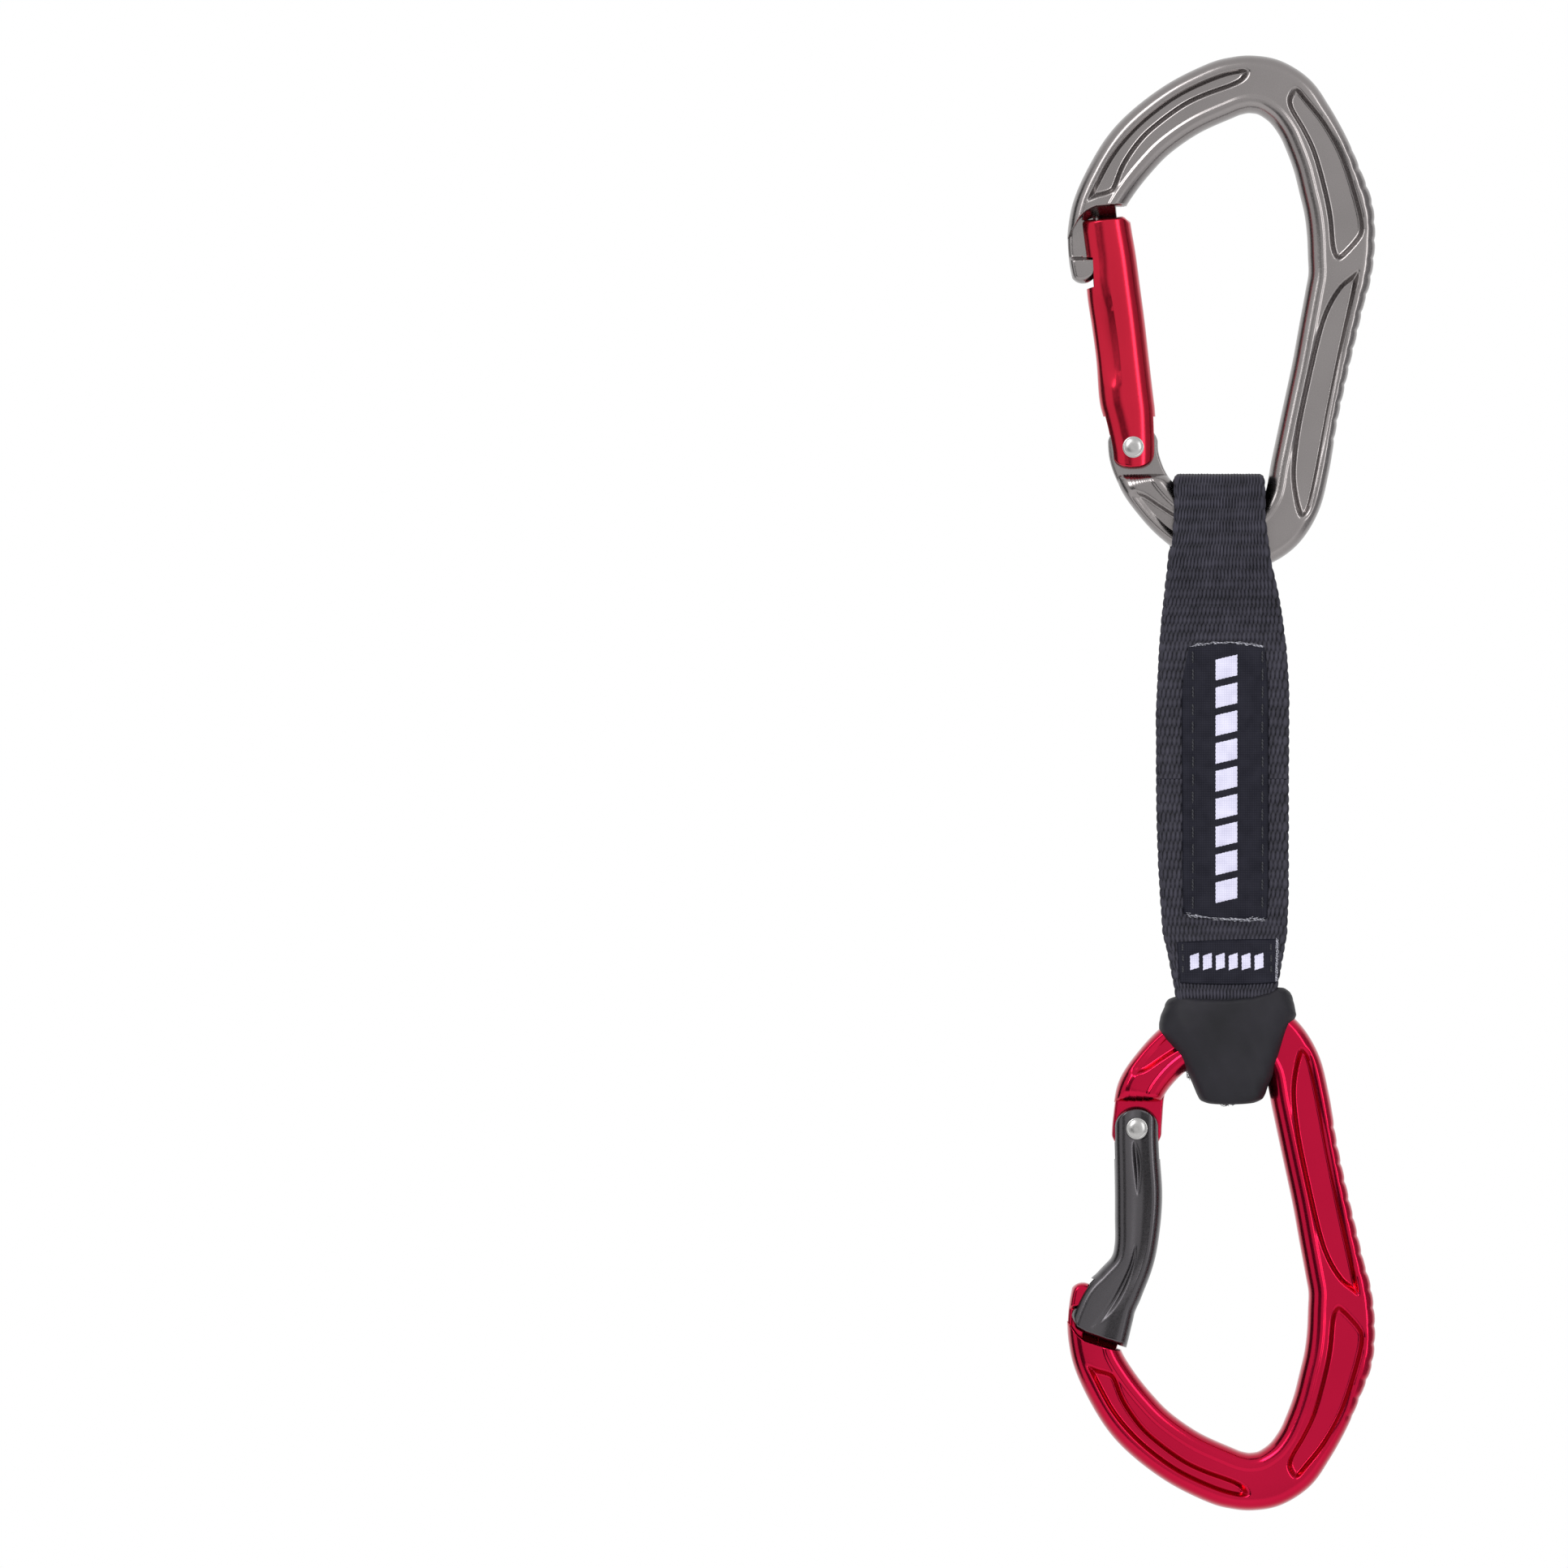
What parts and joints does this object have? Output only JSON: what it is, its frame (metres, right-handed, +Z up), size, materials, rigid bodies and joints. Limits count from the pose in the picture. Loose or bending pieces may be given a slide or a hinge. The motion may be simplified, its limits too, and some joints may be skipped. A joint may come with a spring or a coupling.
{
  "type": "climbing quickdraw",
  "caption": "Climbing quickdraw: straight-gate and bent-gate keylock carabiners with sprung gates, joined by a sewn webbing sling with a rubber keeper.",
  "frame": {"origin": "the point of the upper carabiner's bow where a bolt hanger bears, midway through its depth", "axes": "+Z up along the hanging draw, towards the bolt; -Y out of its front face; +X towards the spines"},
  "size_m": [0.0597, 0.018, 0.2824],
  "materials": {
    "gunmetal": "satin, bare aluminium with a grey tint",
    "red_anodised": "glossy red anodised",
    "grey_anodised": "satin dark grey anodised",
    "rivet_steel": "polished",
    "spring_steel": "drawn wire",
    "webbing": "woven nylon",
    "label": "fine damask weave",
    "thread": "bonded thread",
    "rubber": "moulded matte rubber"
  },
  "bodies": {
    "top_carabiner": {"top_body": "gunmetal", "top_gate_rivet": "rivet_steel"},
    "top_gate": {"top_gate": "red_anodised", "top_gate_spring": "spring_steel"},
    "top_pusher": {"top_gate_pusher": "spring_steel"},
    "upper_eye": {"webbing_top_eye": "webbing"},
    "sling": {"webbing_front_ply": "webbing", "webbing_back_ply": "webbing", "sling_bar_tacks": "thread", "long_label": "label", "long_label_stitches": "thread"},
    "lower_eye": {"webbing_bottom_eye": "webbing", "short_label": "label", "short_label_stitches": "thread", "rubber_keeper": "rubber"},
    "bottom_carabiner": {"bottom_body": "red_anodised", "bottom_gate_rivet": "rivet_steel"},
    "bottom_gate": {"bottom_gate": "grey_anodised", "bottom_gate_spring": "spring_steel"},
    "bottom_pusher": {"bottom_gate_pusher": "spring_steel"}
  },
  "joints": [
    {"name": "top_gate_hinge", "type": "hinge", "parent": "top_carabiner", "child": "top_gate", "pos_m": [-0.0222, 0, -0.0647], "axis": [0, 1, 0], "range_deg": [0, 32], "stiffness_Nm_per_rad": 0.5, "springref_deg": -20.05},
    {"name": "top_pusher_slide", "type": "slide", "parent": "top_gate", "child": "top_pusher", "axis": [-0.1219, 0, 0.9925], "range_m": [0, 0.0011], "deforming": ["top_gate_spring"]},
    {"name": "upper_eye_swing", "type": "hinge", "parent": "top_carabiner", "child": "upper_eye", "pos_m": [-0.0056, 0, -0.08], "axis": [0, 1, 0], "range_deg": [-30, 30], "deforming": ["webbing_top_eye"]},
    {"name": "upper_throat_fold", "type": "hinge", "parent": "upper_eye", "child": "sling", "pos_m": [-0.005, 0, -0.098], "axis": [1, 0, 0], "range_deg": [-75, 75], "stiffness_Nm_per_rad": 0.02, "deforming": ["webbing_top_eye"]},
    {"name": "lower_throat_fold", "type": "hinge", "parent": "sling", "child": "lower_eye", "pos_m": [-0.0043, 0, -0.1585], "axis": [1, 0, 0], "range_deg": [-45, 45], "stiffness_Nm_per_rad": 0.02, "deforming": ["webbing_bottom_eye"]},
    {"name": "keeper_turn", "type": "hinge", "parent": "lower_eye", "child": "bottom_carabiner", "pos_m": [-0.005, 0, -0.177], "axis": [0, 1, 0], "range_deg": [-8, 8], "stiffness_Nm_per_rad": 0.5, "deforming": ["webbing_bottom_eye", "rubber_keeper"]},
    {"name": "bottom_gate_hinge", "type": "hinge", "parent": "bottom_carabiner", "child": "bottom_gate", "pos_m": [-0.0215, 0, -0.1968], "axis": [0, -1, 0], "range_deg": [0, 32], "stiffness_Nm_per_rad": 0.5, "springref_deg": -20.05},
    {"name": "bottom_pusher_slide", "type": "slide", "parent": "bottom_gate", "child": "bottom_pusher", "axis": [0, 0, -1], "range_m": [0, 0.0011], "deforming": ["bottom_gate_spring"]}
  ],
  "couplings": [
    {"joint": "top_pusher_slide", "follows": "top_gate_hinge", "m_per_rad": 0.0019},
    {"joint": "bottom_pusher_slide", "follows": "bottom_gate_hinge", "m_per_rad": 0.0019}
  ]
}
